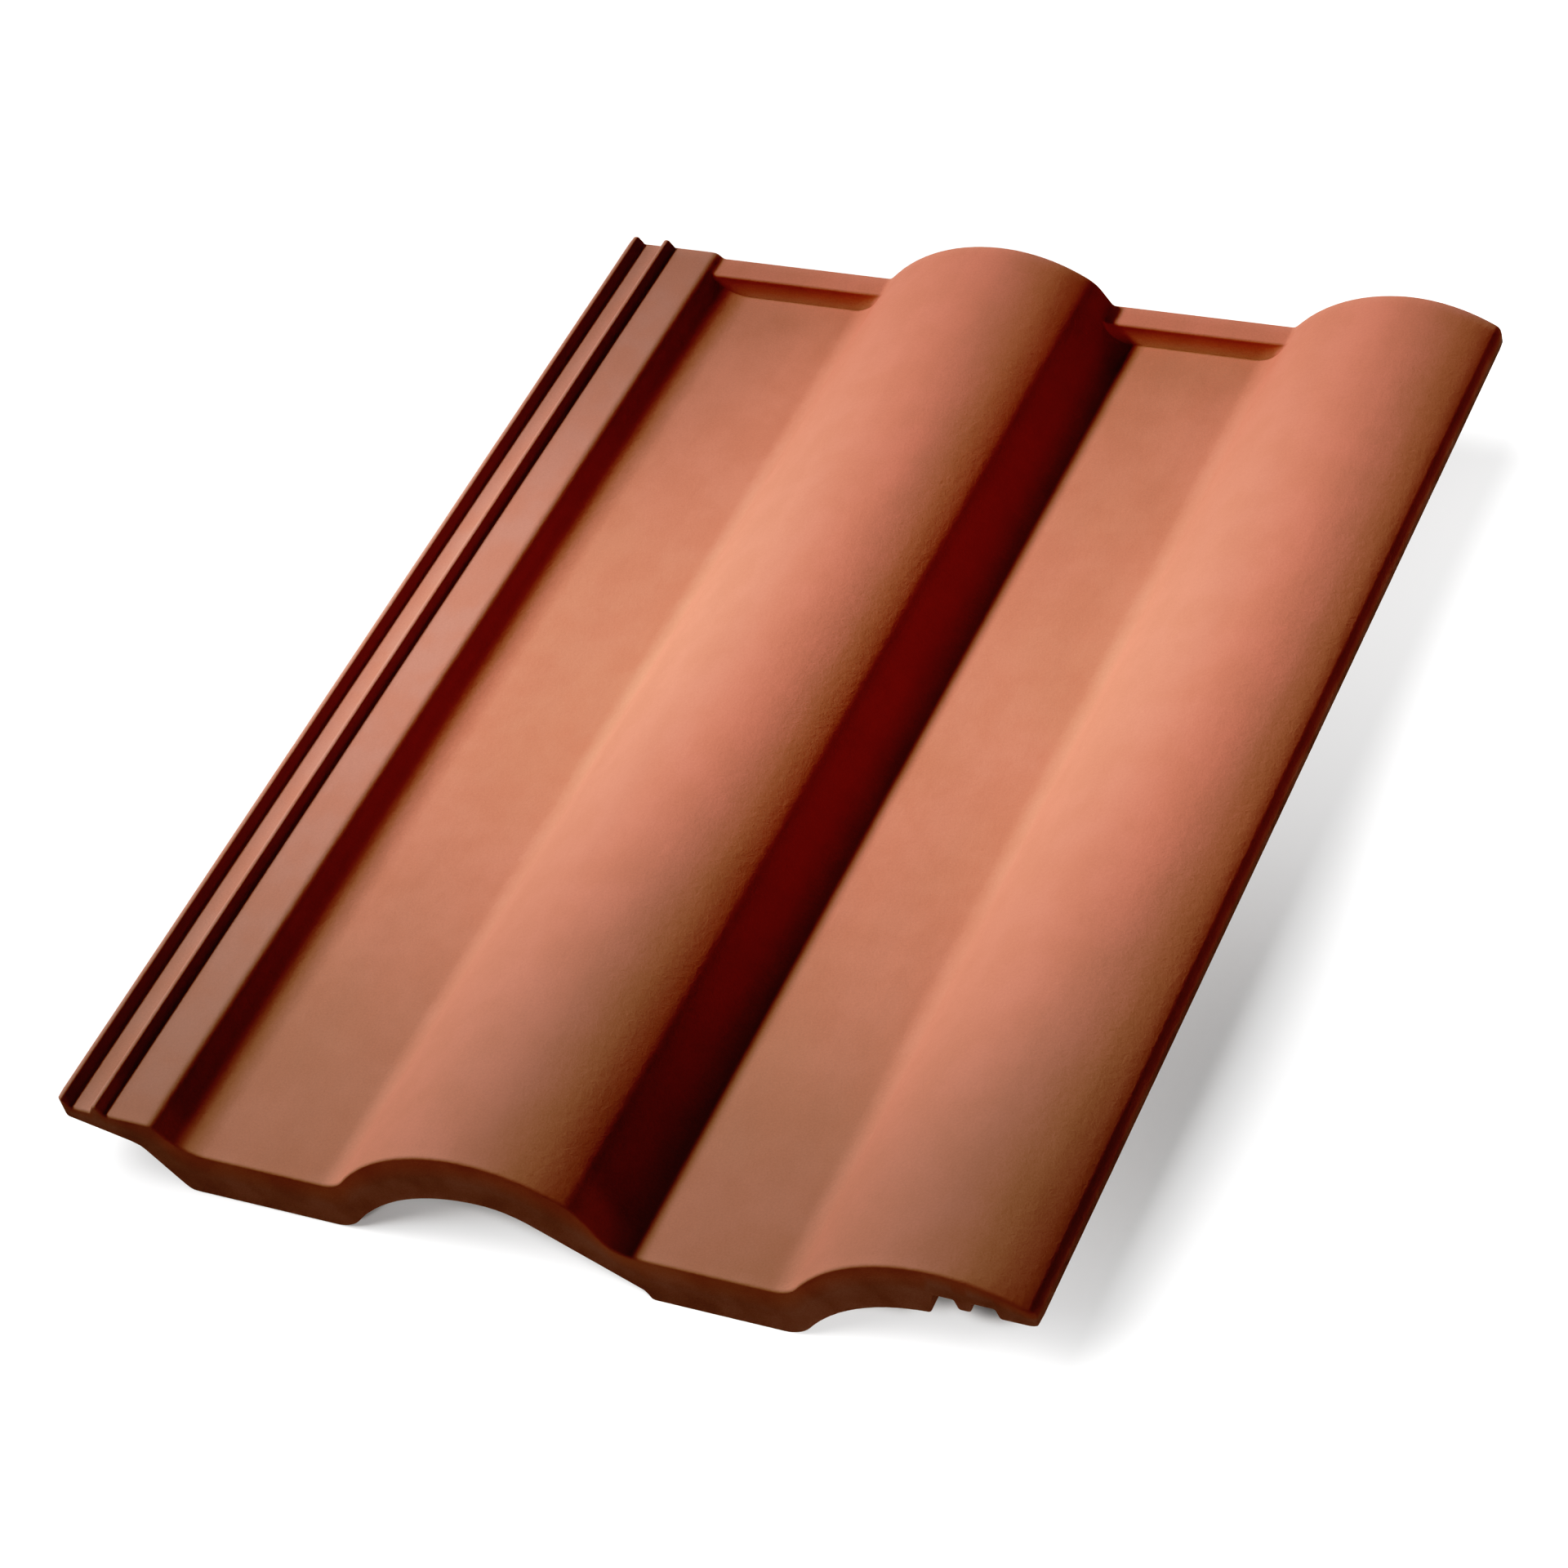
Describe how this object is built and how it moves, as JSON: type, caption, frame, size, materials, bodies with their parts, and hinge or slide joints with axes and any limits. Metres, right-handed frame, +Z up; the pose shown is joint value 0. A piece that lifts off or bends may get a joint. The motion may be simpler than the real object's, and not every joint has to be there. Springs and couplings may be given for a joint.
{
  "type": "roof tile",
  "caption": "Interlocking clay roof tile: flat pans between half-round rolls, ribbed underlock, covering overlock, raised head bars and nibs that hang on a batten.",
  "frame": {"origin": "under the middle of the tile's bounding box, on the level floor that it rests on", "axes": "+X across the tile from the underlock to the overlock, +Y up the roof slope from the tail to the head, +Z up from the floor; at rest on its tail and nibs the tile's own plane is pitched 1.32 degrees about X, head up"},
  "size_m": [0.33, 0.4208, 0.0576],
  "materials": {
    "fired_clay": "matt, unglazed"
  },
  "bodies": {
    "root": {"roof_tile": "fired_clay"}
  },
  "joints": []
}
